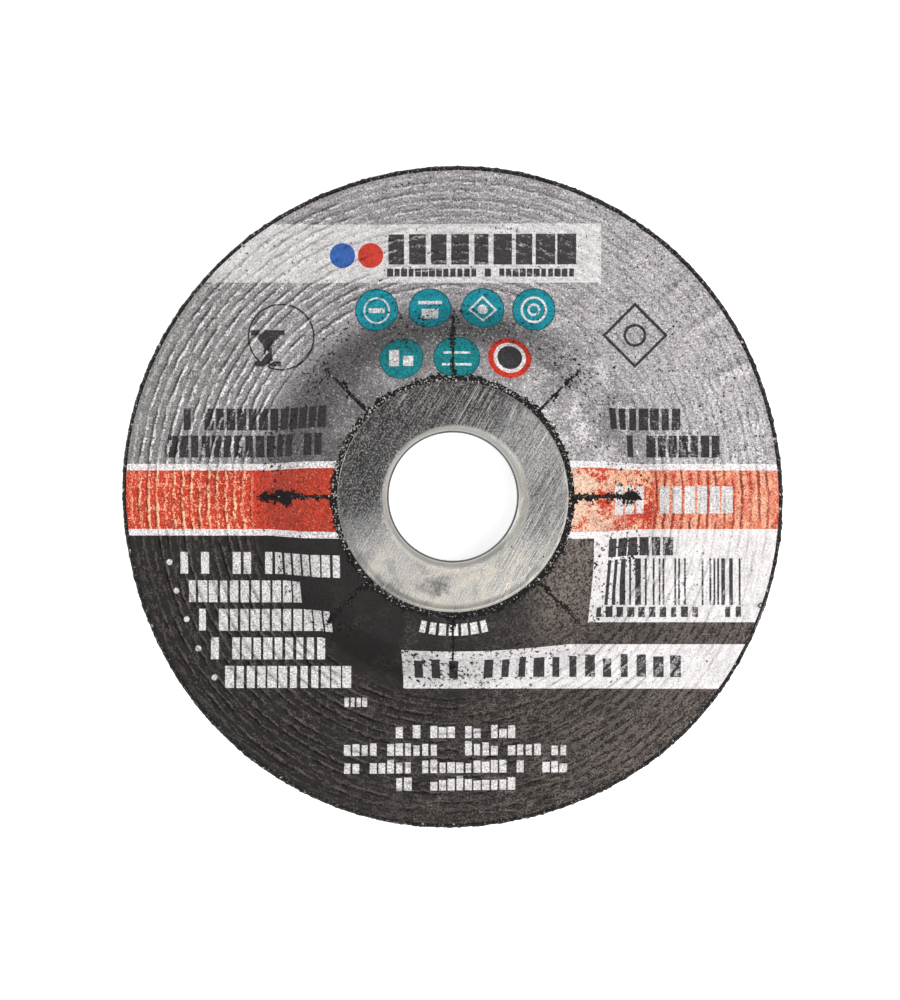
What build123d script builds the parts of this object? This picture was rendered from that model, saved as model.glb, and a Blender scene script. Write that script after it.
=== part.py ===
from build123d import *
from math import cos, radians, sin, tan
import os

# Grinding disc with a depressed centre, 115 x 6 x 22.23 mm. An abrasive body, moulded in one piece
# with its glass cloths, carries a paper label in its back and a steel ring round its bore. The disc
# lies on its grinding face with the label up. The origin is on the axis of the bore, in the plane of
# the grinding face, and +Z points out of the back. All sizes are in millimetres.

# Whole disc
disc_diameter = 115.0
disc_thickness = 6.0  # outside the hub, with the label
bore_diameter = 22.23
recess_depth = 4.6  # how far the hub is raised, and how deep the nut sits

# Abrasive body
cone_angle = 40.0  # slope between hub and outer back
cone_wall = 6.2  # square to the slope
crest_bevel = 0.6  # top of the cone, along each side of the corner
foot_bevel = 0.6  # bottom of the cone
recess_round = 3.0  # floor of the nut's recess into its wall
mouth_round = 1.5  # wall of the recess into the grinding face
rim_chamfer = 0.3
bore_chamfer = 0.3

# Paper label, thick with the resin that it soaked up
label_thickness = 0.3
rim_width = 0.7  # bare abrasive outside the label
crest_round = 2.4  # the paper over the top of the cone
foot_round = 2.4  # and over its bottom
slit_count = 8
slit_width = 1.0  # at the label's inner edge, from where each slit narrows to a point
slit_end = 0.6  # from the point of a slit to the corner at the foot of the cone

# Ripples that the press plate leaves in the label
ripple_pitch = 1.5
ripple_depth = 0.13
outer_land = 1.35  # smooth paper outside the ripples
inner_land = 0.6  # smooth paper between the ripples and the foot of the cone

# Centre ring
ring_sheet = 0.45
flange_diameter = 40.0
flange_round = 0.3  # outer edge of the flange, on its upper side
collar_bend = 1.7  # upper side of the bend from flange to collar
collar_clearance = 0.05  # between the collar and the abrasive
collar_end = 0.4  # from the end of the collar to the floor of the recess

# The label starts a little outside the flange, and its land reaches from there to the crest
ring_gap = 1.0
hub_land = 6.3

# Heights of the abrasive
back_height = disc_thickness - label_thickness
hub_height = back_height + recess_depth

# Radii, from the bore outwards
disc_radius = disc_diameter / 2
bore_radius = bore_diameter / 2
flange_radius = flange_diameter / 2
seat_radius = bore_radius + ring_sheet + collar_clearance
label_inner_radius = flange_radius + ring_gap
label_outer_radius = disc_radius - rim_width
crest_radius = label_inner_radius + hub_land
foot_radius = crest_radius + recess_depth / tan(radians(cone_angle))

# The recess's wall runs along the cone, a wall's thickness under it
wall_across = cone_wall / sin(radians(cone_angle))
mouth_radius = foot_radius + back_height / tan(radians(cone_angle)) - wall_across
floor_radius = mouth_radius - recess_depth / tan(radians(cone_angle))


def turned(corners):
    """A solid of revolution from a closed line through (radius, height, rounding) corners."""
    points = [corner[:2] for corner in corners]
    rounds = [corner[2] for corner in corners]
    outline = FilletPolyline(points, radius=rounds, close=True)
    return revolve(Plane.XZ * make_face(outline), Axis.Z, 360)


def cone_corners():
    """The cone of the abrasive from its crest to its foot, bevelled at both."""
    run = cos(radians(cone_angle))
    drop = sin(radians(cone_angle))
    return [
        (crest_radius - crest_bevel, hub_height, 0),
        (crest_radius + crest_bevel * run, hub_height - crest_bevel * drop, 0),
        (foot_radius - foot_bevel * run, back_height + foot_bevel * drop, 0),
        (foot_radius + foot_bevel, back_height, 0),
    ]


def ripple_corners():
    """The crests and grooves of the ripples, from the foot of the cone out to the label's edge."""
    foot_end = foot_radius + foot_round * tan(radians(cone_angle / 2))
    outer_crest = label_outer_radius - outer_land
    room = outer_crest - foot_end - inner_land
    ripple_count = max(1, int(room / ripple_pitch))
    corners = [(outer_crest, disc_thickness, 0)]
    for ripple in range(ripple_count):
        crest = outer_crest - ripple * ripple_pitch
        corners.append((crest - ripple_pitch / 2, disc_thickness - ripple_depth, 0))
        corners.append((crest - ripple_pitch, disc_thickness, 0))
    return corners[::-1]


def make_abrasive_body():
    """Moulded resin and grain: flat back, raised hub, nut recess and seat for the ring."""
    seat_round = collar_bend - ring_sheet - collar_clearance
    return turned(
        [
            (seat_radius, hub_height, seat_round),
            *cone_corners(),
            (disc_radius - rim_chamfer, back_height, 0),
            (disc_radius, back_height - rim_chamfer, 0),
            (disc_radius, rim_chamfer, 0),
            (disc_radius - rim_chamfer, 0, 0),
            (mouth_radius, 0, mouth_round),
            (floor_radius, recess_depth, recess_round),
            (seat_radius + bore_chamfer, recess_depth, 0),
            (seat_radius, recess_depth + bore_chamfer, 0),
        ]
    )


def make_paper_label():
    """One sheet that covers the back, rippled on top and slit where it rises over the hub."""
    outwards = label_thickness * tan(radians(cone_angle / 2))
    sheet = turned(
        [
            (label_inner_radius, hub_height + label_thickness, 0),
            (crest_radius + outwards, hub_height + label_thickness, crest_round),
            (foot_radius + outwards, disc_thickness, foot_round),
            *ripple_corners(),
            (label_outer_radius, disc_thickness, 0),
            (label_outer_radius, back_height, 0),
            *cone_corners()[::-1],
            (label_inner_radius, hub_height, 0),
        ]
    )

    slit_tip = foot_radius - slit_end
    slit_start = label_inner_radius - ring_gap
    start_width = slit_width * (slit_tip - slit_start) / (slit_tip - label_inner_radius)
    wedge = make_face(
        Polyline(
            (slit_tip, 0),
            (slit_start, start_width / 2),
            (slit_start, -start_width / 2),
            close=True,
        )
    )
    cutter = extrude(wedge, amount=hub_height + disc_thickness)
    return sheet - PolarLocations(0, slit_count) * cutter


def make_centre_ring():
    """Pressed steel sheet: a flat flange on the hub, bent down into a collar in the bore."""
    flange_height = hub_height + ring_sheet
    collar_height = recess_depth + collar_end
    outer_collar = bore_radius + ring_sheet
    return turned(
        [
            (bore_radius, collar_height, 0),
            (bore_radius, flange_height, collar_bend),
            (flange_radius, flange_height, flange_round),
            (flange_radius, hub_height, 0),
            (outer_collar, hub_height, collar_bend - ring_sheet),
            (outer_collar, collar_height, 0),
        ]
    )


os.makedirs("parts", exist_ok=True)
export_step(make_abrasive_body(), "parts/abrasive_body.step")
export_step(make_paper_label(), "parts/paper_label.step")
export_step(make_centre_ring(), "parts/centre_ring.step")
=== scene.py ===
from math import atan2, cos, hypot, pi, radians, sin, sqrt, tan

import bmesh
import bpy
from mathutils import Matrix, Vector, noise


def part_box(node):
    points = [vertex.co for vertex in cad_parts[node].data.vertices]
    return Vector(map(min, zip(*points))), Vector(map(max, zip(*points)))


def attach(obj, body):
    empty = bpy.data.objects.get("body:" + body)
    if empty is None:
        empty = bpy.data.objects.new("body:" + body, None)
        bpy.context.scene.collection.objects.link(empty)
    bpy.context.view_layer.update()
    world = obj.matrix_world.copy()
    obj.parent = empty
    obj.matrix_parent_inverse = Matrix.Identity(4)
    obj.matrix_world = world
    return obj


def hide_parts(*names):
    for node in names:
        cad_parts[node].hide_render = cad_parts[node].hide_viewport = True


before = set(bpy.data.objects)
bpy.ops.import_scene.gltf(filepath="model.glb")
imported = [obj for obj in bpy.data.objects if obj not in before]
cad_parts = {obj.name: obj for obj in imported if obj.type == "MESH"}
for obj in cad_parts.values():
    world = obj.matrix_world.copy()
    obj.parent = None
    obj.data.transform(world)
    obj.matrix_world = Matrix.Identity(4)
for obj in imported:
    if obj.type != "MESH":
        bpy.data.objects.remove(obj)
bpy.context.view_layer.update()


# Abrasive body. Grain of about 0.7 mm in black resin, hot-pressed round its glass cloths into one
# piece. It shows at the rim, in the gap round the ring, in the slits and on the side that grinds.
mm = 0.001
body_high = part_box("abrasive_body")[1] / mm
label_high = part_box("paper_label")[1] / mm
ring_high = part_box("centre_ring")[1] / mm
disc_radius = body_high.x
label_radius = label_high.x
flange_radius = ring_high.x
hub_height = body_high.z
paper_thickness = label_high.z - body_high.z
back_height = 5.7
recess_depth = 4.6
bore_radius = 11.115
seat_radius = 11.615
gap_radius = 21.0  # from the ring's flange to here the grain is bare
crest_radius = 27.3
foot_radius = 32.78
body_columns = 896
grain_size = 0.7


def rise(value, low, high):
    """Runs straight from 0 at low to 1 at high, or falls if high is the smaller."""
    return min(max((value - low) / (high - low), 0.0), 1.0)


def ramp(value, low, high):
    """The same, eased at both ends."""
    share = rise(value, low, high)
    return share * share * (3 - 2 * share)


def strayed(x, y, z):
    """A point moved with the outline of the disc, which the press left a little out of round."""
    radius = hypot(x, y)
    angle = atan2(y, x)
    stray = 0.06 * cos(2 * angle - radians(170)) + 0.04 * cos(3 * angle - radians(121))
    stray += 0.17 * cos(4 * angle + radians(117)) + 0.04 * cos(5 * angle - radians(122))
    stray += 0.05 * cos(8 * angle + radians(57)) - 0.02
    scale = 1 + stray * ramp(radius, 40, 57) / radius
    return Vector((x * scale, y * scale, z))


def grit(point, size):
    """How far the grain under a point stands out, from 0 in a crevice to 1 on a high grain."""
    distances, centres = noise.voronoi(point / size)
    height = 0.5 + 0.5 * noise.cell(centres[0] * 7.3)
    return height * min(1.0, 2.2 * (distances[1] - distances[0]))


def section(bm, corners):
    """A closed line through (radius, height, steps) corners, each side cut into its even steps."""
    points = []
    next_corners = corners[1:] + corners[:1]
    for (radius, height, steps), (next_radius, next_height, _) in zip(corners, next_corners):
        start = Vector((radius, 0, height))
        end = Vector((next_radius, 0, next_height))
        points += [start.lerp(end, step / steps) for step in range(steps)]
    verts = [bm.verts.new(point) for point in points]
    edges = [bm.edges.new(pair) for pair in zip(verts, verts[1:] + verts[:1])]
    return verts + edges


def spin(bm, line, angle, steps):
    """Turns a line about the axis of the bore."""
    origin = (0, 0, 0)
    bmesh.ops.spin(
        bm, geom=line, cent=origin, axis=(0, 0, 1), dvec=origin, angle=angle, steps=steps,
        use_merge=False, use_duplicate=False,
    )


def double(bm, angle):
    """Copies all that is there, turned about the axis of the bore, and gives back the new points."""
    copy = bmesh.ops.duplicate(bm, geom=bm.verts[:] + bm.edges[:] + bm.faces[:])["geom"]
    verts = [item for item in copy if isinstance(item, bmesh.types.BMVert)]
    bmesh.ops.rotate(bm, verts=verts, cent=(0, 0, 0), matrix=Matrix.Rotation(angle, 3, "Z"))
    return verts


def turn_fully(bm, line, columns):
    """Turns a line once round the axis: a thirty-second of the way, then doubled five times."""
    doublings = 5
    spin(bm, line, 2 * pi / 2**doublings, columns // 2**doublings)
    for doubling in range(doublings):
        double(bm, 2 * pi / 2 ** (doubling + 1))
    bmesh.ops.remove_doubles(bm, verts=bm.verts, dist=0.001)
    bmesh.ops.recalc_face_normals(bm, faces=bm.faces)


def unroll(bm, line, inner, outer, hidden):
    """Lays a turned surface out flat for its baked colours, as rings that follow its section from
    one radius of the map to another. What another piece hides gets a tenth of its room."""
    shares = bm.verts.layers.float["share"]
    verts = [item for item in line if isinstance(item, bmesh.types.BMVert)]
    along = 0.0
    for vert, after in zip(verts, verts[1:] + verts[:1]):
        vert[shares] = along
        middle = (vert.co + after.co) / 2
        along += (after.co - vert.co).length * (0.1 if hidden(middle.x, middle.z) else 1.0)
    for vert in verts:
        vert[shares] = inner + (outer - inner) * vert[shares] / along


def lay_out(bm, outer):
    """Gives each corner of the turned surface its place in the map."""
    shares = bm.verts.layers.float["share"]
    spread = bm.loops.layers.uv.new("OFBake")
    for face in bm.faces:
        outs = [loop.vert[shares] for loop in face.loops]
        closing = max(outs) - min(outs) > 0.2
        for loop, out in zip(face.loops, outs):
            if closing and abs(out - outer) > 0.2:
                out = outer
            direction = loop.vert.co.xy.normalized() * out
            loop[spread].uv = (0.5 + direction.x, 0.5 + direction.y)


def add_piece(name, bm, material, slot, *nodes):
    """Makes a smooth piece from a shape in millimetres, and sets it in the frame."""
    for face in bm.faces:
        face.smooth = True
    bmesh.ops.scale(bm, vec=(mm, mm, mm), verts=bm.verts)
    mesh = bpy.data.meshes.new(name)
    bm.to_mesh(mesh)
    bm.free()
    mesh.materials.append(material)
    piece = bpy.data.objects.new(name, mesh)
    bpy.context.scene.collection.objects.link(piece)
    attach(piece, "root")
    if nodes:
        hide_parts(*nodes)
    return piece


class Level:
    """A number that varies over a surface. Sums and comparisons of levels become nodes."""

    def __init__(self, finish, socket):
        self.finish = finish
        self.socket = socket

    def math(self, operation, *others):
        feeds = dict(enumerate((self,) + others))
        return self.finish.add("Math", feeds, operation=operation)

    def __add__(self, other):
        return self.math("ADD", other)

    def __sub__(self, other):
        return self.math("SUBTRACT", other)

    def __mul__(self, other):
        return self.math("MULTIPLY", other)

    def __truediv__(self, other):
        return self.math("DIVIDE", other)

    def __abs__(self):
        return self.math("ABSOLUTE")

    def inverse(self):
        return self.math("MULTIPLY_ADD", -1, 1)

    def below(self, limit):
        return self.math("LESS_THAN", limit)

    def above(self, limit):
        return self.math("GREATER_THAN", limit)

    def within(self, low, high):
        return self.math("COMPARE", (low + high) / 2, (high - low) / 2)

    def either(self, other):
        return self.math("MAXIMUM", other)

    def ramp(self, low, high, start=0.0, end=1.0):
        feeds = {0: self, 1: low, 2: high, 3: start, 4: end}
        return self.finish.add("MapRange", feeds, interpolation_type="SMOOTHSTEP")


class Finish:
    """A material as it is built up, node by node. Coordinates are in millimetres."""

    def __init__(self, name):
        self.material = bpy.data.materials.new(name)
        self.material.use_nodes = True
        self.nodes = self.material.node_tree.nodes
        self.links = self.material.node_tree.links
        self.surface = self.nodes["Principled BSDF"]
        metres = self.add("TexCoord", {}, output="Object")
        self.place = self.vector("SCALE", metres, {3: 1 / mm})

    def add(self, kind, feeds, output=0, **settings):
        """Adds a node, sets it, feeds its inputs and gives back one output."""
        node = self.nodes.new("ShaderNode" + kind)
        for setting, value in settings.items():
            setattr(node, setting, value)
        for name, value in feeds.items():
            self.feed(node.inputs[name], value)
        return Level(self, node.outputs[output])

    def feed(self, socket, value):
        if isinstance(value, Level):
            self.links.new(value.socket, socket)
        else:
            socket.default_value = value

    def vector(self, operation, first, others, output=0):
        return self.add("VectorMath", {0: first, **others}, output, operation=operation)

    def parts(self, vector):
        return [self.add("SeparateXYZ", {0: vector}, axis) for axis in range(3)]

    def join(self, x, y, z):
        return self.add("CombineXYZ", {0: x, 1: y, 2: z})

    def clouds(self, place, size, detail=2.0, roughness=0.5):
        feeds = {"Vector": place, "Scale": 1 / size, "Detail": detail, "Roughness": roughness}
        return self.add("TexNoise", feeds)

    def cells(self, place, size, output="Distance", feature="F1"):
        feeds = {"Vector": place, "Scale": 1 / size}
        return self.add("TexVoronoi", feeds, output, feature=feature)

    def mix(self, share, first, second):
        return self.add("Mix", {0: share, 6: first, 7: second}, 2, data_type="RGBA")

    def coloured(self, base, steps):
        """Lays colours one over another. Each step is a share of the surface and its colour."""
        for share, colour in steps:
            base = self.mix(share, base, colour)
        return base

    def bump(self, height, depth):
        return self.add("Bump", {"Strength": 1.0, "Distance": depth * mm, "Height": height})

    def finish(self, **sockets):
        for name, value in sockets.items():
            self.feed(self.surface.inputs[name.replace("_", " ")], value)
        return self.material


resin_black = (0.006, 0.0055, 0.0055, 1)
grain_brown = (0.06, 0.05, 0.045, 1)
grain_glint = (0.72, 0.68, 0.65, 1)
cloth_grey = (0.075, 0.07, 0.062, 1)
film_grey = (0.24, 0.23, 0.22, 1)


def gritty(name, of_body):
    """Black resin full of grain. The body's has a film of flash on the rim, and glass cloth that shows
    through on the side that grinds."""
    finish = Finish(name)
    red, green, blue = finish.parts(finish.cells(finish.place, grain_size * 0.6, "Color"))
    edge = finish.cells(finish.place, grain_size * 0.6, feature="DISTANCE_TO_EDGE")
    fine = finish.clouds(finish.place, 0.25, 3.0)
    x, y, z = finish.parts(finish.place)
    radius = (x * x + y * y).math("SQRT")
    inside = radius.below(gap_radius + 0.5) * z.above(back_height)
    # Painted highlights: light flecks and glints on the grain, most in the gap round the ring towards
    # the upper left, fewer on the rim and the underside
    glint_side = inside * (y - x).ramp(0, 32)
    glints = (green + glint_side * 0.1).above(0.95) * edge.above(0.1)
    flecks = finish.clouds(finish.place, 0.36, 1.0, 0.8)
    flecks = (flecks + glint_side * 0.05).ramp(0.645, 0.66)
    steps = [(red.ramp(0.35, 1.0) * fine.ramp(0.35, 0.65) * (inside * -0.6 + 1.0), grain_brown)]
    steps.append((flecks * (inside * 0.6 + 0.35), grain_glint))
    steps.append((glints * blue.ramp(0.0, 0.6, 0.2, 0.8), grain_glint))
    height = edge.ramp(0.0, 0.25) * 0.6 + fine * 0.4
    if of_body:
        # A film of flash, grey and thin, that hangs over the rim at the lower right
        torn = finish.clouds(finish.place, 1.3, 3.0) - 0.5
        film = (abs(y + 20.8) + torn * 5).ramp(2.9, 1.7)
        film = film * (radius + (fine - 0.5) * 0.8).above(disc_radius - 0.35)
        film = film * x.above(0) * (z + torn * 4).ramp(4.3, 5.3)
        steps.append((film * 0.75, film_grey))
        along = (x + y).math("SINE").either((x - y).math("SINE"))
        strands = along.ramp(0.55, 0.95) * z.below(recess_depth + 0.15) * radius.below(disc_radius - 0.4)
        steps.append((strands * fine.ramp(0.3, 0.6) * 0.8, cloth_grey))
        height = height + strands * 0.4
    colour = finish.coloured(resin_black, steps)
    shine = blue.ramp(0, 1, 0.35, 0.75)
    return finish.finish(
        Base_Color=colour, Roughness=shine, Specular_IOR_Level=0.3, Normal=finish.bump(height, 0.25)
    )


body = bmesh.new()
body.verts.layers.float.new("share")
line = section(
    body,
    [
        (seat_radius, hub_height - 1.25, 2),
        (seat_radius + 1.25, hub_height, 2),
        (flange_radius - 0.4, hub_height, 9),
        (gap_radius + 0.3, hub_height, 3),
        (crest_radius - 0.6, hub_height, 1),
        (crest_radius + 0.46, hub_height - 0.39, 2),
        (foot_radius - 0.46, back_height + 0.39, 1),
        (foot_radius + 0.6, back_height, 3),
        (label_radius - 0.3, back_height, 3),
        (disc_radius - 0.3, back_height, 2),
        (disc_radius, back_height - 0.3, 15),
        (disc_radius, 0.3, 2),
        (disc_radius - 0.3, 0, 38),
        (30.5, 0, 2),
        (29.3, 0.5, 8),
        (25.6, 3.6, 4),
        (23.2, recess_depth, 9),
        (seat_radius + 0.3, recess_depth, 2),
        (seat_radius, recess_depth + 0.3, 1),
    ],
)
unroll(
    body, line, 0.495, 0.1,
    lambda radius, height: gap_radius + 0.3 < radius < label_radius - 0.3 and height > back_height - 0.1,
)
turn_fully(body, line, body_columns)
body.normal_update()
lay_out(body, 0.1)
for vert in body.verts:
    x, y, z = vert.co
    radius = hypot(x, y)
    grain = grit(vert.co, grain_size)
    out = Vector()
    if z < back_height - 0.05 and radius < disc_radius - 0.2:
        # The side that grinds: hollows between grains that stand in one plane
        out = vert.normal * -0.35 * (1 - grain) * ramp(radius, seat_radius, seat_radius + 1)
    elif radius > label_radius - 0.05:
        out = vert.normal * (0.24 * grain - 0.07)
    elif flange_radius - 0.3 < radius < gap_radius + 0.25:
        lump = noise.noise(vert.co * 0.8)
        out = Vector((0, 0, 0.3 * grain + 0.06 * lump))
    vert.co = strayed(*(vert.co + out))
black_resin = gritty("resin_and_grain", of_body=True)
add_piece("abrasive_body_grain", body, black_resin, "abrasive", "abrasive_body")


# Curl of flash. A thread of black resin, a fifth of a millimetre thick, that the mould squeezed out
# at the label's edge on the lower right. It curled over and set hard on the paper.
thread_radius = 0.11
curl_radius = 0.42
curl_place = (53.6, -18.9, 6.15)
curl_turn = radians(320)
curl_steps = 24
step_rise = 0.006
curl = bmesh.new()
thread = bmesh.ops.create_circle(
    curl, segments=8, radius=thread_radius, matrix=Matrix.Rotation(pi / 2, 4, "X")
)
bmesh.ops.translate(curl, verts=thread["verts"], vec=(curl_radius, 0, 0))
cap = bmesh.ops.contextual_create(curl, geom=curl.edges[:])["faces"]
bmesh.ops.spin(
    curl, geom=cap + curl.verts[:] + curl.edges[:], cent=(0, 0, 0), axis=(0, 0, 1),
    dvec=(0, 0, step_rise), angle=curl_turn, steps=curl_steps, use_merge=False, use_duplicate=False,
)
bmesh.ops.recalc_face_normals(curl, faces=curl.faces)
bmesh.ops.rotate(curl, verts=curl.verts, cent=(0, 0, 0), matrix=Matrix.Rotation(radians(-60), 3, "Z"))
bmesh.ops.scale(curl, verts=curl.verts, vec=(1.25, 0.9, 1))
bmesh.ops.translate(curl, verts=curl.verts, vec=curl_place)
add_piece("curl_of_flash", curl, black_resin, "abrasive")


# Paper label. One printed sheet, laid in the mould under the grain and pressed into it. The press
# plate's ripples show all over its back. Over the hub it slid outwards and opened at its eight slits.
petal_columns = 75
flat_bore = 19.65  # the sheet's inner edge before it slid outwards
slit_tip = 32.6
slope = radians(40)
paper_round = 2.4  # of the sheet over the top and the foot of the slope
ripple_pitch = 1.5
outer_groove = 54.7
ripple_depth = 0.22
slit_widths = (0.7, 0.45, 0.45, 0.7, 0.6, 0.45, 0.4, 0.45)  # share that opened, from +X round
# Each wrinkle's direction in degrees, the radius of its middle, its half length and its height
wrinkles = (
    (38, 53, 5, 0.26),
    (31, 54, 4.5, 0.2),
    (24, 55, 3, 0.14),
    (47, 52, 3, 0.14),
    (83, 55, 2.5, 0.1),
)


def slide(flat):
    """How far the paper moved outwards as it was pressed over the hub."""
    return 1.15 * rise(flat, slit_tip, 25.85) + 0.2 * rise(flat, 25.85, flat_bore)


def seat_height(radius):
    """Height of the abrasive under the paper."""
    crest, foot = crest_radius - 0.6, foot_radius + 0.6
    if radius < crest:
        return hub_height
    if radius > foot:
        return back_height
    fall = (radius - crest_radius) * tan(slope)
    return min(hub_height, max(back_height, hub_height - fall))


def paper_height(radius):
    """Height of the paper's upper side over hub, slope and back."""
    outwards = paper_thickness * tan(slope / 2)
    crest, foot = crest_radius + outwards, foot_radius + outwards
    top, bottom = hub_height + paper_thickness, back_height + paper_thickness
    reach = paper_round * tan(slope / 2)
    if radius < crest - reach:
        return top
    if radius < crest + reach * cos(slope):
        return top - paper_round + sqrt(paper_round**2 - (radius - crest + reach) ** 2)
    if radius < foot - reach * cos(slope):
        return top - (radius - crest) * tan(slope)
    if radius < foot + reach:
        return bottom + paper_round - sqrt(paper_round**2 - (foot + reach - radius) ** 2)
    return bottom


def ripples(radius, angle):
    """The pressed ripples: the radius as the wandering grooves see it, and the depth of the groove."""
    spot = Vector((cos(angle) * radius, sin(angle) * radius, 0))
    along = Vector((cos(angle) * 13, sin(angle) * 13, radius / ripple_pitch))
    wandered = radius + 0.24 * noise.noise(spot / 1.8) + 0.1 * noise.noise(spot / 9)
    depth = (1 - 0.3 * cos(angle)) * (0.15 + 0.85 * ramp(noise.noise(along), -0.35, 0.2))
    smoothed = ramp(abs(angle - radians(45)), radians(42), radians(8))
    depth *= 1 - 0.8 * smoothed - 0.35 * ramp(abs(angle - radians(95)), radians(30), radians(5))
    return wandered, max(depth, 0.0) * ramp(radius, 34.2, 35.6) * ramp(radius, 56.0, 55.2)


def folds(radius, angle):
    """Wrinkles that run inwards from the edge, and the torn edge that curls up on the right."""
    height = 0
    for degrees, middle, half_length, tall in wrinkles:
        aside = (angle - radians(degrees)) * radius
        height += tall * ramp(abs(aside), 1.1, 0) * ramp(abs(radius - middle), half_length, 0)
    aside = (angle + radians(19.5)) * radius
    return height + 0.45 * ramp(abs(aside), 1.8, 0.2) * ramp(radius, 55.6, 56.7)


sheet = bmesh.new()
petal_of = sheet.verts.layers.int.new("petal")
line = section(
    sheet,
    [
        (flat_bore, 1, 11),
        (25.2, 1, 8),
        (27.2, 1, 8),
        (31.2, 1, 4),
        (slit_tip, 1, 6),
        (34.45, 1, 112),
        (55.45, 1, 4),
        (label_radius, 1, 1),
        (label_radius, 0, 1),
        (33.38, 0, 1),
        (slit_tip, 0, 1),
        (32.3, 0, 1),
        (26.66, 0, 1),
        (25.55, 0, 1),
        (flat_bore, 0, 1),
    ],
)
spin(sheet, line, pi / 4, petal_columns)
for turn in (0, pi / 4):
    side = Matrix.Rotation(-turn, 3, "Z")
    wall = [vert for vert in sheet.verts if abs((side @ vert.co).y) < 0.001]
    wall = [vert for vert in wall if vert.co.xy.length < slit_tip + 0.001]
    tip = [vert for vert in wall if vert.co.xy.length > slit_tip - 0.001]
    edges = {edge for vert in wall for edge in vert.link_edges if edge.other_vert(vert) in wall}
    edges.add(sheet.edges.new(tip))
    bmesh.ops.edgeloop_fill(sheet, edges=list(edges))
for doubling in range(3):
    for vert in double(sheet, pi / 4 * 2**doubling):
        vert[petal_of] += 2**doubling

# The flat sheet gives the print its place, before the press forms it. In the map for baked colours
# the upper side fills the room, with the outer edges just round it, and the lower side and the walls
# of the slits lie small in two corners.
map_width = 116
small_map_width = 850
printed = sheet.loops.layers.uv.new("print")
pressed = sheet.loops.layers.uv.new("press")
spread = sheet.loops.layers.uv.new("OFBake")
for face in sheet.faces:
    face.normal_update()
    upper = face.normal.z > 0.5
    for loop in face.loops:
        x, y, z = loop.vert.co
        loop[printed].uv = (x, y)
        if upper:
            loop[spread].uv = (0.5 + x / map_width, 0.5 + y / map_width)
        elif face.normal.z < -0.5:
            loop[spread].uv = (0.07 + x / small_map_width, 0.07 + y / small_map_width)
        elif len(face.verts) > 4:
            loop[spread].uv = (0.88 + hypot(x, y) / 600, 0.01 + 0.01 * z + 0.012 * loop.vert[petal_of])
        else:
            out = 1 + (1 - z) * 0.008
            loop[spread].uv = (0.5 + out * x / map_width, 0.5 + out * y / map_width)

for vert in sheet.verts:
    flat = vert.co.xy.length
    petal = vert[petal_of]
    angle = atan2(vert.co.y, vert.co.x) % (2 * pi)
    across = ((angle - petal * pi / 4 + 0.01) % (2 * pi) - 0.01) / (pi / 4)
    radius = flat + slide(flat)
    # Each petal keeps its width as it slides outwards, which opens the slits at both its sides
    half_gap = slide(flat) * pi / 8
    opening = half_gap * slit_widths[petal] * (1 - across)
    opening -= half_gap * slit_widths[(petal + 1) % 8] * across
    ragged = noise.noise(Vector((radius * 1.4, petal * 5 + round(across) * 3, 0)))
    at_slit = ramp(min(across, 1 - across) * flat * pi / 4, 0.9, 0) * ramp(flat, slit_tip, 31)
    angle += (opening + 0.12 * ragged * at_slit) / radius
    if vert.co.z > 0.5:
        bent = Vector((radius * cos(angle), radius * sin(angle), 0))
        hub_share = ramp(radius, 34, 26)
        wandered, depth = ripples(radius, angle)
        turned = (wandered - outer_groove) / ripple_pitch % 1
        lobe = sin(pi * turned) ** (0.5 if turned < 0.5 else 0.85)
        height = paper_height(radius) + folds(radius, angle)
        height -= ripple_depth * depth * (1 - lobe)
        height += 0.016 * noise.noise(bent / 0.9) * ramp(radius, 34, 36)
        for loop in vert.link_loops:
            loop[pressed].uv = (wandered, depth)
        height += (0.05 - 0.03 * hub_share) * noise.noise(bent / 5)
        height += 0.02 * noise.noise(bent / 1.3)
        height += 0.1 * at_slit * (0.4 + noise.noise(bent / 1.1))
    else:
        height = seat_height(radius)
    radius += 0.14 * noise.noise(Vector((angle * 18, 0, 3))) * ramp(flat, flat_bore + 1, flat_bore)
    trimmed = 0.05 * noise.noise(Vector((angle * 30, 0, 7)))
    trimmed -= 0.12 * ramp(cos(angle - radians(60)), 0, 1)
    radius += trimmed * ramp(flat, 56.2, label_radius)
    vert.co = strayed(radius * cos(angle), radius * sin(angle), height)
bmesh.ops.remove_doubles(sheet, verts=sheet.verts, dist=0.002)
bmesh.ops.recalc_face_normals(sheet, faces=sheet.faces)


# The print: fields of colour, rows of plain blocks and simple marks
silver_ink = (0.34, 0.32, 0.325, 1)
shaded_left_silver = (0.19, 0.195, 0.18, 1)
dark_silver = (0.1, 0.096, 0.094, 1)
silver_wear_and_highlight = (0.88, 0.84, 0.85, 1)
dirt_grey = (0.06, 0.055, 0.055, 1)
paper_white = (0.72, 0.69, 0.69, 1)
panel_white = (0.84, 0.8, 0.8, 1)
orange_ink = (0.62, 0.045, 0.014, 1)
dark_orange = (0.3, 0.035, 0.015, 1)
orange_wear_and_highlight = (0.97, 0.56, 0.35, 1)
worn_beige = (0.72, 0.5, 0.38, 1)
black_ink = (0.012, 0.009, 0.0085, 1)
black_fade_and_sheen = (0.2, 0.165, 0.145, 1)
dark_ink = (0.04, 0.036, 0.038, 1)
teal_ink = (0.01, 0.29, 0.37, 1)
deep_teal = (0.006, 0.2, 0.21, 1)
teal_line = (0.01, 0.1, 0.13, 1)
blue_ink = (0.03, 0.12, 0.42, 1)
red_ink = (0.6, 0.04, 0.02, 1)
bled_resin = (0.006, 0.005, 0.005, 1)

label_finish = Finish("printed_paper")
flat = label_finish.add("UVMap", {}, uv_map="print")
flat_x, flat_y, _ = label_finish.parts(flat)
real_x, real_y, _ = label_finish.parts(label_finish.place)
real_radius = (real_x * real_x + real_y * real_y).math("SQRT")


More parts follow.
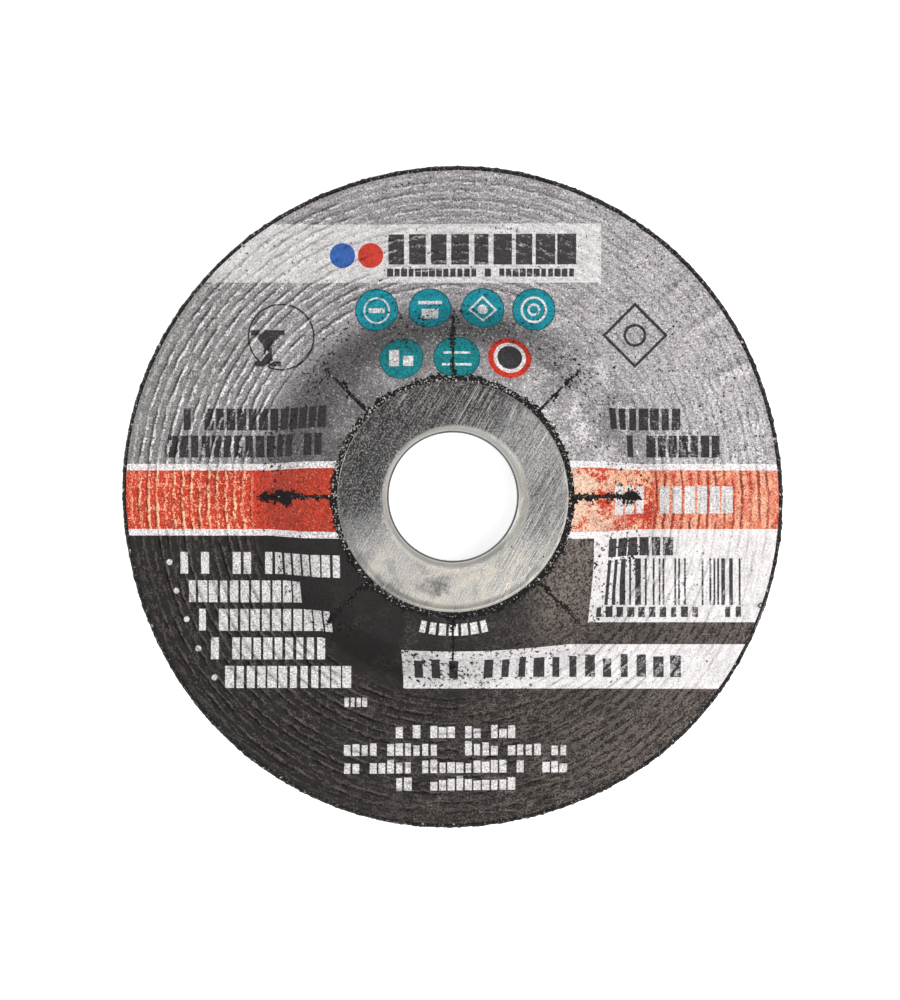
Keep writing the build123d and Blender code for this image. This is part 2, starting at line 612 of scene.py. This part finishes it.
def box_mark(left, right, bottom, top):
    return flat_x.within(left, right) * flat_y.within(bottom, top)


def distance_from(x, y):
    return label_finish.vector("DISTANCE", flat, {1: (x, y, 0)}, "Value")


def dot_mark(x, y, radius):
    return distance_from(x, y).below(radius)


def ring_mark(x, y, inner, outer):
    return distance_from(x, y).within(inner, outer)


def blocks(step, up, pitch, height, line, uneven, gaps=0.12, full=0.32):
    """Blocks of mixed widths and heights along a line of print, with some left out. Steps count
    pitches along the line, and up is the height over its foot."""
    chance = label_finish.add(
        "TexWhiteNoise", {"W": step.math("FLOOR") + line}, "Color", noise_dimensions="1D"
    )
    wide, tall, kept = label_finish.parts(chance)
    aside = abs(step.math("FRACT") - 0.5) * pitch - wide * (0.13 * pitch) - full * pitch
    half_height = (tall * -uneven + 1) * (height / 2)
    above = abs(up - half_height) - half_height
    return aside.either(above).below(0) * kept.above(gaps)


def block_row(left, right, bottom, top, pitch, uneven, gaps=0.12, full=0.32, x=flat_x, y=flat_y):
    """One line of blocks that fills the room from left to right."""
    count = round((right - left) / pitch)
    step = (x - left) / ((right - left) / count)
    seed = left * 3.1 + bottom * 7.7
    marks = blocks(step, y - bottom, pitch, top - bottom, seed, uneven, gaps, full)
    return marks * step.within(0, count)


def block_lines(foot, spacing, lines, pitch, height, uneven, left, shown):
    """Evenly spaced lines of blocks, numbered from the lowest. Where each line starts, and which of
    its steps are shown, depends on its number."""
    up = (flat_y - foot) / spacing
    line = up.math("FLOOR")
    step = (flat_x - left(line)) / pitch
    marks = blocks(step, up.math("FRACT") * spacing, pitch, height, line * 41 + foot, uneven)
    return marks * shown(line, step) * line.within(-0.5, lines - 0.5)


def together(marks):
    """All of these marks as one."""
    all_marks = marks[0]
    for mark in marks[1:]:
        all_marks = all_marks.either(mark)
    return all_marks


# What the press and the grain under the paper did to its face. Grooves and streaks follow the
# ripples. The side of each ridge that faces outwards has its ink worn off and a highlight painted on.
press_radius, press_depth, _ = label_finish.parts(label_finish.add("UVMap", {}, uv_map="press"))
out_vector = label_finish.join(real_x / real_radius, real_y / real_radius, 0.0)
around = label_finish.vector("SCALE", out_vector, {3: 38.0})
streak_place = label_finish.vector("ADD", around, {1: label_finish.join(0.0, 0.0, real_radius * 2.0)})
streaks = label_finish.clouds(streak_place, 1.0, 2.0, 0.6).ramp(0.34, 0.66)
grain = label_finish.clouds(label_finish.place, 0.3, 2.0, 0.6).ramp(0.32, 0.68)
dust = label_finish.clouds(label_finish.place, 0.4, 2.0, 0.75)
speckle = label_finish.clouds(label_finish.place, 0.6, 3.0, 0.7)
patches = label_finish.clouds(label_finish.place, 6.5, 3.0, 0.6)
clumps = label_finish.clouds(label_finish.place, 2.4, 2.0, 0.6)
rippled = real_radius.ramp(34.0, 36.0)
rightwards = real_x.ramp(2, 42)
turned_groove = ((press_radius - outer_groove) / ripple_pitch).math("FRACT")
groove = abs(turned_groove - 0.5).ramp(0.5, 0.36)
flank_width = rightwards * 0.26 + 0.13 + (streaks - 0.5) * 0.2 + (grain - 0.5) * 0.1
outer_flank = (abs(turned_groove - (rightwards * -0.14 + 0.82)) - flank_width).ramp(0.1, -0.08)
# Wear and painted highlight along the outward flank of each ridge, wider towards the right
flank_wear_and_highlight = (streaks + grain * 1.2 + rightwards * 0.3).ramp(0.35, 1.1) * outer_flank
# Painted shade in the grooves of the ripples
groove_shade = abs((turned_groove + 0.4).math("FRACT") - 0.5).ramp(0.24, 0.04) * press_depth * rippled
flank_wear_and_highlight = flank_wear_and_highlight * (press_depth * 0.7 + 0.3) * rippled
worn_spots = (streaks * 0.6 + grain * 0.6).ramp(0.76, 1.05) * 0.7 * rippled
wear_and_highlight = flank_wear_and_highlight.either(worn_spots)
# Pale patches on the right side of the label, partly wear and partly painted glare from the broad lamp
wear_and_glare_patches = patches + (grain - 0.5) * 0.08 + (streaks - 0.5) * 0.12 + (clumps - 0.5) * 0.4
wear_and_glare_patches = wear_and_glare_patches.ramp(0.44, 0.58)
wear_and_glare_patches = wear_and_glare_patches * real_x.ramp(8, 22) * (rippled * -0.6 + 1.0)
wear_highlight_and_glare = wear_and_highlight.either(wear_and_glare_patches)
# Salt and pepper specks, stronger towards the right: salt is painted glints, pepper is dark specks
speckled_side = (real_x * 0.012 + real_y * 0.004).ramp(-0.35, 0.5, 0.3, 1.0)
salt = dust.ramp(0.6, 0.65) * speckled_side
pepper = dust.ramp(0.4, 0.35) * speckled_side

# Painted light and shade beside the wrinkles near the rim on the right: a dark streak on one side of
# each and a light one on the other
crease_shading = None
for degrees, strength in ((35, 0.3), (24.4, 0.3), (43, 0.16), (14, 0.12)):
    aside = real_y * cos(radians(degrees)) - real_x * sin(radians(degrees))
    fold_shade = abs(aside - 0.7 + (clumps - 0.5) * 2.0).ramp(1.1, 0.1)
    fold_shade = fold_shade - abs(aside + 0.9 + (clumps - 0.5) * 2.0).ramp(1.3, 0.1)
    fold_shade = fold_shade * real_radius.ramp(46, 54) * strength * real_x.above(0)
    crease_shading = crease_shading + fold_shade if crease_shading else fold_shade

black_field = flat_y.below(-6.75)
band = flat_y.within(-5.63, 4.56)
band_lines = flat_y.within(-6.75, 5.69)
panels = box_mark(-8.6, 60, -33.3, -25.6).either(box_mark(23.3, 60, -21.8, -5.0))
strips = panels.either(box_mark(-60, 25.7, 37.15, 47.35))
silver_field = black_field.either(strips).either(band_lines).inverse()

dark_rows = together(
    [
        block_lines(
            6.8, 4.7, 2, 1.885, 3.8, 0.0,
            left=lambda line: line * 0.6 - 49.5,
            shown=lambda line, step: (
                step.within(0, 15) + step.within(40, 47) + step.within(47, 51) * line.below(0.5)
            ),
        ),
        block_row(25.9, 38.4, -10.2, -7.0, 1.95, 0.0),
        block_row(24.3, 50.5, -20.9, -19.0, 1.9, 0.1, 0.1, 0.22),
        block_row(-7.3, 40.1, -31.3, -27.3, 2.95, 0.2, 0.12, 0.2),
        block_row(-11.7, 21.6, 40.3, 45.6, 3.7, 0.0, 0.0, 0.33),
        block_row(-11.5, 21.2, 38.2, 39.6, 1.2, 0.0),
    ]
)
bars = label_finish.add(
    "TexWhiteNoise", {"W": (flat_x / 0.34).math("FLOOR")}, "Value", noise_dimensions="1D"
)
bars = bars.above(0.42) * (flat_x / 1.36).math("FRACT").above(0.27)
dark_rows = dark_rows.either(bars * box_mark(25.9, 50.7, -18.8, -10.7))
taper = (flat_y - 26.0).either(flat_y * -1 + 24.2).either(0.0)
plain_marks = together(
    [
        (abs(flat_x + 32.1) - taper * 0.75).below(0.7) * flat_y.within(23.0, 28.6),
        box_mark(-35.1, -29.2, 28.0, 28.9),
        box_mark(-34.4, -29.8, 22.6, 23.5),
        ring_mark(-29.8, 27.7, 5.5, 5.82),
        (abs(flat_x - 31.6) + abs(flat_y - 28.0)).within(5.0, 5.7),
        ring_mark(31.6, 28.0, 1.5, 2.0),
    ]
)
lost_ink = outer_flank * rippled * press_depth * 0.5 + grain * 0.4 + streaks * 0.25
dark_print = dark_rows.either(plain_marks) * lost_ink.ramp(1.05, 0.45, 0.4, 1.0)

arc_along = flat_x.math("ARCTAN2", flat_y * -1) * 21.6
arc_up = (flat_x * flat_x + flat_y * flat_y).math("SQRT") * -1
white_rows = together(
    [
        block_lines(
            -33.2, 4.95, 5, 1.85, 3.8, 0.0,
            left=lambda line: (line * 0.2 - 2.8) * line - 39.7,
            shown=lambda line, step: (
                step.above(0) * (step + line.math("PINGPONG", 1) * 2 - line.above(3.5) * 3).below(13)
            ),
        ),
        block_lines(
            -51.0, 3.03, 4, 1.5, 2.5, 0.45,
            left=lambda line: (line - 3) * line * 4.5 - 10.05,
            shown=lambda line, step: step.above(0) * (step + (line - 3) * line * 6).below(14),
        ),
        block_row(-20.0, -14.8, -36.5, -34.9, 1.0, 0.0),
        block_row(26.9, 48.8, -2.9, 1.8, 2.1, 0.0),
        block_row(-5.6, 5.8, -22.8, -20.7, 1.65, 0.0, 0.0, 0.28, arc_along, arc_up),
    ]
)
row_dots = ((-49.4, -11.4), (-48.2, -16.4), (-46.4, -21.35), (-44.3, -26.4), (-41.4, -31.4))
white_rows = white_rows.either(together([dot_mark(x, y, 0.52) for x, y in row_dots]))

roundels = ((-13.22, 32.32), (-3.95, 32.4), (5.16, 32.45), (14.05, 32.45), (-8.53, 22.85), (0.65, 22.85))
roundel_radius = 3.75
teal = together([dot_mark(x, y, roundel_radius) for x, y in roundels])
teal_edge = together([ring_mark(x, y, roundel_radius - 0.2, roundel_radius) for x, y in roundels])
figures = together(
    [
        ring_mark(-13.22, 32.3, 2.0, 2.3),
        box_mark(-14.6, -11.85, 31.9, 32.7),
        box_mark(-6.0, -1.9, 33.4, 34.0),
        box_mark(-5.4, -2.5, 30.6, 32.6),
        (abs(flat_x - 5.16) + abs(flat_y - 32.45)).within(2.0, 2.5),
        dot_mark(5.16, 32.45, 0.9),
        ring_mark(14.05, 32.45, 1.9, 2.3),
        ring_mark(14.05, 32.45, 0.7, 1.1),
        box_mark(-10.6, -8.9, 21.4, 24.3),
        box_mark(-8.2, -6.5, 21.4, 23.2),
        box_mark(-1.4, 2.7, 23.5, 23.9),
        box_mark(-1.6, 2.9, 21.4, 21.8),
    ]
)
red_roundel = (9.4, 23.0)

# Resin that bled through the paper: specks all over, thick on the slope, and crumbs along the slits
slope_share = real_radius.ramp(24.0, 28.0) * real_radius.ramp(38.0, 32.0)
crowd = slope_share * 0.075 + (patches - 0.5) * 0.25 + real_y.ramp(-5, 10) * 0.022 + strips * 0.035
crowd = crowd + speckled_side * rippled * silver_field * 0.04 + slope_share * real_x.ramp(10, -15) * 0.015
specks = (speckle + crowd).ramp(0.68, 0.71)
lumps = label_finish.clouds(label_finish.place, 1.7, 1.0)
turn = real_y.math("ARCTAN2", real_x) / (pi / 4)
slit_aside = abs((turn + 0.5).math("FRACT") - 0.5) * real_radius * (pi / 4)
leftmost = (real_x / real_radius).ramp(-0.9, -1.0)
rightmost = (real_x / real_radius).ramp(0.9, 1.0)
crumb_width = leftmost * real_radius.ramp(26.0, 29.5) * 1.3
crumb_width = crumb_width + rightmost * real_radius.ramp(28.0, 30.5) * 0.7
crumb_width = crumb_width + leftmost * 0.1 + rightmost * 0.3 + 0.2 - real_radius.ramp(30.5, 33.5) * 1.3
crumbs = (slit_aside + (speckle - 0.5) * 4.0 + (lumps - 0.5) * 3.0).below(crumb_width)
crumbs = crumbs * real_radius.below(34.2)
inner_crumbs = (real_radius + (speckle - 0.5) * 3.4 + (lumps - 0.5) * 1.5).below(gap_radius + 0.1)
bled = specks.either(crumbs).either(inner_crumbs)

# Resin soaked into the paper round the hub, with painted shade: darker towards the left and on the
# slope, most at its upper part
soak_and_shade = real_x * -0.02 + (patches - 0.5) * 1.6 + slope_share * (real_y.ramp(0, 25) * 0.2 + 0.3)
soak_and_shade = soak_and_shade.ramp(-0.35, 0.6) * real_radius.ramp(36, 30)
hub_brown = real_x.ramp(8, 20) * real_radius.ramp(44, 26) * (grain + streaks).ramp(0.2, 1.5)
pale_hub = real_x.ramp(33, 26) * real_x.above(0) * (clumps + (grain - 0.5) * 0.14).ramp(0.4, 0.56) * 0.8
# Faded black ink with painted sheen: lighter and browner towards the lower right and on the right of the
# hub, and lighter along the ridges
fade_and_sheen = (real_x * 0.012 - real_y * 0.006 + (clumps - 0.5) * 0.8 + (patches - 0.5) * 0.8).ramp(-0.1, 0.8)
fade_and_sheen = fade_and_sheen * (grain * 0.8 + streaks * 0.6).ramp(0.35, 1.2)
fade_and_sheen = (fade_and_sheen * 0.7).either(hub_brown * 0.9).either(wear_and_highlight * (rightwards * 0.25 + 0.4))
# Silver lightened by wear, by painted highlights on the ridges and by painted glare on the right
silver_wear_and_highlight_share = (flank_wear_and_highlight * 0.7).either(worn_spots * 0.15).either(wear_and_glare_patches * 0.5)
layers = [
    # Painted shade: the silver darker towards the left edge
    (real_x.ramp(-15, -57) * 0.6, shaded_left_silver),
    (soak_and_shade * 0.85, dark_silver),
    (silver_field * silver_wear_and_highlight_share, silver_wear_and_highlight),
    # Painted shade in the grooves
    (silver_field * groove_shade * rightwards.inverse() * 0.35, dark_silver),
    (silver_field * pepper, dirt_grey),
    (silver_field * salt, silver_wear_and_highlight),
    # Painted shade: the white strips and panels greyer towards the left and darker in the grooves
    (strips * (real_x.ramp(-50, 5, 0.8, 1.0) - groove_shade * streaks * 0.4), paper_white),
    (strips * flank_wear_and_highlight * 0.8, panel_white),
    (strips * pepper * 0.6, dirt_grey),
    (panels, panel_white),
    (panels * (groove_shade * streaks * 0.3).either(real_x.ramp(12, -8) * 0.14), silver_ink),
    (band_lines, panel_white),
    (band, orange_ink),
    (band * soak_and_shade * 0.4, dark_orange),
    (band * wear_highlight_and_glare * 0.85, orange_wear_and_highlight),
    # Painted shade in the grooves, towards the right
    (band * groove_shade * rightwards * (streaks * 0.8 + 0.6), dark_orange),
    (band * pale_hub, worn_beige),
    (band * pepper * 0.6, dark_orange),
    (band * salt * 0.6, panel_white),
    (black_field * strips.inverse(), black_ink),
    (black_field * strips.inverse() * fade_and_sheen, black_fade_and_sheen),
    (dark_print, dark_ink),
    (white_rows * lost_ink.ramp(1.15, 0.8, 0.6, 1.0), paper_white),
    (teal, teal_ink),
    (teal * (flat_y.below(28) * 0.85).either(clumps.ramp(0.42, 0.62) * 0.45), deep_teal),
    (teal_edge, teal_line),
    (figures, paper_white),
    (dot_mark(*red_roundel, 3.7), red_ink),
    (dot_mark(*red_roundel, 2.75), paper_white),
    (dot_mark(*red_roundel, 2.1), dark_ink),
    (dot_mark(-19.2, 41.9, 2.2), blue_ink),
    (dot_mark(-14.3, 41.9, 2.2), red_ink),
    (bled, bled_resin),
]
colour = label_finish.coloured(silver_ink, layers)
# Tone that varies at random, darker where soaked, with painted shade on the left and the slope, beside
# the wrinkles and in the grooves
tone = (grain - 0.5) * (strips * -0.35 - speckled_side * 0.2 + 0.9) + (streaks - 0.5) * 0.2 * rippled
tone = tone - soak_and_shade * 0.15 + 1.0
tone = tone + (patches - 0.5) * 0.5 + (clumps - 0.5) * 0.4 - crease_shading - groove_shade * (streaks * 0.3 + 0.05)
colour = label_finish.add("HueSaturation", {"Value": tone, "Color": colour})
silvery = silver_field * 0.5 + band * 0.12
relief = grain * 0.3 + streaks * (rippled * 0.2 + 0.1) + groove * press_depth * 0.7
label_bump = label_finish.bump(relief, 0.26)
shine = (grain * 0.2 + 0.32 + black_field * 0.1).either(bled * 0.85)
paper = label_finish.finish(
    Base_Color=colour, Metallic=silvery * bled.inverse(), Roughness=shine, Specular_IOR_Level=0.3,
    Normal=label_bump,
)
label_piece = add_piece("label_sheet", sheet, paper, "label_paper", "paper_label")
label_piece.data.set_sharp_from_angle(angle=radians(45))


# Resin in the slits. As the mould closed, black resin with grain in it rose through the open slits,
# and set hard and rough, about level with the paper.
strip_width = 1.1
strip_start, strip_end = 20.7, 31.8
strip_middle = (strip_start + strip_end) / 2
strip_length = strip_end - strip_start
strip_thickness = 0.4
rows_along, rows_across = 90, 12
resin = bmesh.new()
for slit in range(8):
    made = bmesh.ops.create_grid(resin, x_segments=rows_along, y_segments=rows_across, size=0.5)
    bmesh.ops.scale(resin, verts=made["verts"], vec=(strip_length, strip_width, 1))
    bmesh.ops.translate(resin, verts=made["verts"], vec=(strip_middle, 0, 0))
    bmesh.ops.rotate(
        resin, verts=made["verts"], cent=(0, 0, 0), matrix=Matrix.Rotation(slit * pi / 4, 3, "Z")
    )
bmesh.ops.solidify(resin, geom=resin.faces[:], thickness=strip_thickness)
bmesh.ops.recalc_face_normals(resin, faces=resin.faces)
resin.normal_update()
spread = resin.loops.layers.uv.new("OFBake")
for face in resin.faces:
    slit = round(atan2(*face.calc_center_median().yx) / (pi / 4)) % 8
    for loop in face.loops:
        along, aside, _ = Matrix.Rotation(-slit * pi / 4, 3, "Z") @ loop.vert.co
        along = (along - strip_middle) / strip_length
        aside = aside / strip_width
        # The walls spread out round the upper side, and the lower side lies in the map's other half
        wide = 1.2 if abs(face.normal.z) < 0.5 and loop.vert.normal.z < 0 else 1.0
        row = 0.04 + 0.06 * slit + (0.5 if face.normal.z < -0.5 else 0)
        loop[spread].uv = (0.5 + along * (0.92 + (wide - 1) * 0.1), row + aside * wide * 0.04)
for vert in resin.verts:
    x, y = vert.co.xy
    radius = hypot(x, y)
    turn = atan2(y, x) / (pi / 4)
    aside = abs(turn - round(turn)) * radius * pi / 4
    ends = ramp(radius, strip_end, strip_end - 2) * ramp(aside, strip_width / 2, strip_width / 2 - 0.3)
    seat = paper_height(radius) - 0.16
    if vert.normal.z > 0.2:
        lump = ramp(noise.noise(Vector((x, y, 5)) / 1.2), -0.3, 0.5)
        seat += (0.1 + 0.25 * lump) * grit(Vector((x, y, 0)), 0.5) * ends - 0.3 * (1 - ends)
    else:
        seat -= strip_thickness
    vert.co = (x, y, seat)
add_piece("resin_in_slits", resin, gritty("slit_resin", of_body=False), "abrasive")


# Centre ring. Zinc-plated steel sheet, pressed to a flat flange with a collar that lines the bore,
# and bonded to the abrasive in the mould. It has fine scratches, grey clouds and a few pits, and its
# colour carries painted reflections: a lit and a shaded side, light edges and a dark line in the bore.
ring_columns = 384
ring_top = ring_high.z
sheet_thickness = ring_top - hub_height
collar_end = recess_depth + 0.4
bend = 1.7
ring = bmesh.new()
ring.verts.layers.float.new("share")
bend_steps = 8
outer_bend = [
    (
        bore_radius + bend - bend * cos(pi / 2 * step / bend_steps),
        ring_top - bend + bend * sin(pi / 2 * step / bend_steps),
        1,
    )
    for step in range(bend_steps + 1)
]
inner = bend - sheet_thickness
inner_bend = [
    (
        bore_radius + bend - inner * sin(pi / 2 * step / bend_steps),
        hub_height - inner + inner * cos(pi / 2 * step / bend_steps),
        1,
    )
    for step in range(bend_steps + 1)
]
outer_bend[-1] = outer_bend[-1][:2] + (14,)
inner_bend[-1] = inner_bend[-1][:2] + (3,)
line = section(
    ring,
    [
        (bore_radius, collar_end + 0.1, 5),
        *outer_bend,
        (flange_radius - 0.55, ring_top, 2),
        (flange_radius - 0.28, ring_top - 0.02, 1),
        (flange_radius - 0.1, ring_top - 0.09, 1),
        (flange_radius, ring_top - 0.25, 1),
        (flange_radius, hub_height, 5),
        *inner_bend,
        (bore_radius + sheet_thickness, collar_end, 1),
        (bore_radius + 0.08, collar_end, 1),
    ],
)
unroll(
    ring, line, 0.08, 0.495,
    lambda radius, height: height < hub_height + 0.02 and radius > bore_radius + 0.1,
)
turn_fully(ring, line, ring_columns)
lay_out(ring, 0.495)
for vert in ring.verts:
    x, y, z = vert.co
    radius = hypot(x, y)
    if z > hub_height + 0.05 and radius > bore_radius + 1:
        crown = 0.05 * ramp(radius, 14, flange_radius)
        vert.co.z -= crown + 0.012 * noise.noise(vert.co / 4)

zinc_grey = (0.14, 0.14, 0.145, 1)
zinc_pale = (0.5, 0.48, 0.45, 1)
zinc_dark = (0.022, 0.021, 0.023, 1)
zinc_yellow = (0.47, 0.45, 0.395, 1)
zinc_cream = (0.62, 0.56, 0.46, 1)
zinc_bright = (0.85, 0.84, 0.82, 1)
pit_and_bore_black = (0.03, 0.03, 0.03, 1)

ring_finish = Finish("zinc_plated_steel")


def away_from(x, y):
    """How far a place lies from a point on the flange."""
    return ring_finish.vector("DISTANCE", ring_finish.place, {1: (x, y, ring_top - 0.05)}, "Value")


x, y, _ = ring_finish.parts(ring_finish.place)
ring_radius = (x * x + y * y).math("SQRT")
clouds = ring_finish.clouds(ring_finish.place, 6.0, 3.0, 0.6)
mottle = ring_finish.clouds(ring_finish.place, 0.3, 2.0, 0.7).ramp(0.35, 0.66)
blotches = ring_finish.clouds(ring_finish.place, 3.0, 4.0, 0.65)
scratch_turn = radians(60)
across = x * sin(scratch_turn) - y * cos(scratch_turn)
along = x * cos(scratch_turn) + y * sin(scratch_turn)
scratch_place = ring_finish.join(across * 4.2, along * 0.13, 0.0)
scratches = ring_finish.clouds(scratch_place, 1.0, 3.0, 0.75).ramp(0.34, 0.66)
deep_place = ring_finish.join(across * 2.4, along * 0.14, 5.0)
deep_scratches = ring_finish.clouds(deep_place, 1.0, 0.0).ramp(0.76, 0.8) * (x + y).ramp(0, 12)
long_scratch = abs(across + 5.78).below(0.09) * along.within(11.2, 19.2)
brushed = (x + y * 0.4).ramp(-6, 10, 0.35, 1.0)
pits = (ring_finish.cells(ring_finish.place, 3.0) + (mottle - 0.5) * 0.04).below(0.055)
smudge = (away_from(-3.0, -15.5) + (blotches - 0.5) * 9).ramp(3.2, 0.6) * mottle.ramp(0, 1, 0.4, 1.0)
# Painted reflection: the flange lighter towards the bottom and darker at the upper left, with lighter
# and darker patches
lit_side = x * 0.012 - y * 0.034 + (clouds - 0.5) * 0.9
lit_side = lit_side + away_from(-12.5, -10).ramp(9, 2) * 0.3 - away_from(-17, 2).ramp(9, 2) * 0.3
lit_side = lit_side + away_from(12.5, 11).ramp(10, 2) * 0.35 - away_from(17, -3).ramp(9, 2) * 0.25
shaded_side = lit_side.ramp(0.05, -0.55)
# Painted highlight on the flange's outer edge, stronger towards the lower right
bright_edge = ring_radius.above(flange_radius - 0.16) * (x * 0.03 - y * 0.03).ramp(-0.6, 0.2, 0.35, 1.0)
# The yellow band of the bend round the bore, partly painted reflection: wider towards the lower right,
# lighter at the top and bottom, greyer on the right
lip = (ring_radius - x * 0.04 + y * 0.03).ramp(13.0, 12.1)
rubbed = y.ramp(-5, -12, 1.0, 0.4)
# A darker band just inside the flange's edge, darker towards the bottom
dark_rim_band = ring_radius.ramp(18.3, 19.2) * ring_radius.below(19.5)
dark_rim_band = dark_rim_band * (y * -0.1 + mottle).ramp(0.9, 2.2)
# Painted highlight on a thin line of the bend, and painted dark reflection just inside the bore
bore_line = ring_radius.within(11.4, 11.65)
bore_dark = ring_radius.below(11.38)
zinc = ring_finish.coloured(
    zinc_grey,
    [
        (lit_side.ramp(-0.3, 0.75), zinc_pale),
        (shaded_side * 0.9, zinc_dark),
        (mottle.ramp(0.55, 1.0) * (shaded_side * 0.1 + 0.3) * rubbed, zinc_pale),
        (mottle.ramp(0.45, 0.1) * 0.5 * rubbed, zinc_dark),
        (scratches.ramp(0.6, 1.0) * brushed * 0.5, zinc_pale),
        (scratches.ramp(0.4, 0.0) * brushed * 0.45, zinc_dark),
        # Painted reflection: cream and grey clouds on the lower part of the flange
        (blotches.ramp(0.5, 0.62) * y.ramp(-7, -13) * 0.5, zinc_cream),
        (blotches.ramp(0.47, 0.36) * y.ramp(-5, -12) * 0.3, zinc_grey),
        (lip * 0.8, zinc_yellow),
        (lip * y.ramp(2, 10).either(y.ramp(-3, -11) * 0.4) * 0.5, zinc_bright),
        (lip * (x - y * 0.5).ramp(9, 13) * 0.3, zinc_grey),
        (dark_rim_band * 0.5, zinc_dark),
        (smudge * 0.8, zinc_dark),
        (deep_scratches.either(long_scratch) * 0.35, zinc_bright),
        (bright_edge.either(bore_line * 0.6) * 0.8, zinc_bright),
        (pits.either(bore_dark) * 0.95, pit_and_bore_black),
    ],
)
ring_bump = ring_finish.bump(scratches * 0.6 + mottle * 0.4, 0.04)
ring_shine = clouds.ramp(0.3, 0.7, 0.34, 0.5)
steel = ring_finish.finish(Base_Color=zinc, Metallic=0.85, Roughness=ring_shine, Normal=ring_bump)
ring_piece = add_piece("ring_of_sheet_steel", ring, steel, "ring_steel", "centre_ring")
ring_piece.data.set_sharp_from_angle(angle=radians(50))


# Table, light and camera. The disc lies on a white table. A small lamp lights it from the left, a
# broad one from the right and a weak one from the front, and the camera looks straight down.
table_bm = bmesh.new()
bmesh.ops.create_grid(table_bm, x_segments=1, y_segments=1, size=3)
table_mesh = bpy.data.meshes.new("table")
table_bm.to_mesh(table_mesh)
table_bm.free()
table = bpy.data.objects.new("table", table_mesh)
bpy.context.scene.collection.objects.link(table)
table_top = Finish("table_top")
seen = table_top.add("LightPath", {}, "Is Camera Ray")
mirrored = table_top.add("LightPath", {}, "Is Glossy Ray")
table_top.finish(
    Base_Color=(0.8, 0.8, 0.8, 1), Roughness=0.9, Emission_Color=(1, 1, 1, 1),
    Emission_Strength=seen.either(mirrored) * 0.8,
)
table_mesh.materials.append(table_top.material)


def add_lamp(name, place, size, power):
    """A soft box that faces the disc."""
    lamp = bpy.data.lights.new(name, "AREA")
    lamp.shape = "RECTANGLE"
    lamp.size, lamp.size_y = size
    lamp.energy = power
    holder = bpy.data.objects.new(name, lamp)
    holder.location = place
    holder.rotation_euler = Vector(place).to_track_quat("Z", "Y").to_euler()
    bpy.context.scene.collection.objects.link(holder)


add_lamp("left_lamp", (-0.64, 0.2, 0.3), (0.1, 0.16), 2.5)
add_lamp("right_lamp", (0.23, -0.03, 0.34), (0.22, 0.4), 1.3)
add_lamp("front_lamp", (0.04, -0.25, 0.42), (0.36, 0.16), 0.5)

scene = bpy.context.scene
studio = bpy.data.worlds.new("studio")
scene.world = studio
studio.use_nodes = True
nodes, links = studio.node_tree.nodes, studio.node_tree.links
sky = nodes.new("ShaderNodeTexCoord")
upwards = nodes.new("ShaderNodeSeparateXYZ")
links.new(sky.outputs["Generated"], upwards.inputs[0])
level = nodes.new("ShaderNodeMapRange")
for name, value in (("From Min", 0.1), ("From Max", 0.75), ("To Min", 0.9), ("To Max", 0.12)):
    level.inputs[name].default_value = value
links.new(upwards.outputs["Z"], level.inputs["Value"])
links.new(level.outputs[0], nodes["Background"].inputs["Strength"])
nodes["Background"].inputs["Color"].default_value = (1, 1, 1, 1)

camera_data = bpy.data.cameras.new("camera")
camera_data.sensor_fit = "VERTICAL"
camera_data.sensor_height = 36
camera_data.lens = 197.0
camera = bpy.data.objects.new("camera", camera_data)
camera.location = (-0.0005, -0.00058, 0.956)
scene.collection.objects.link(camera)
scene.camera = camera
scene.view_settings.view_transform = "Standard"
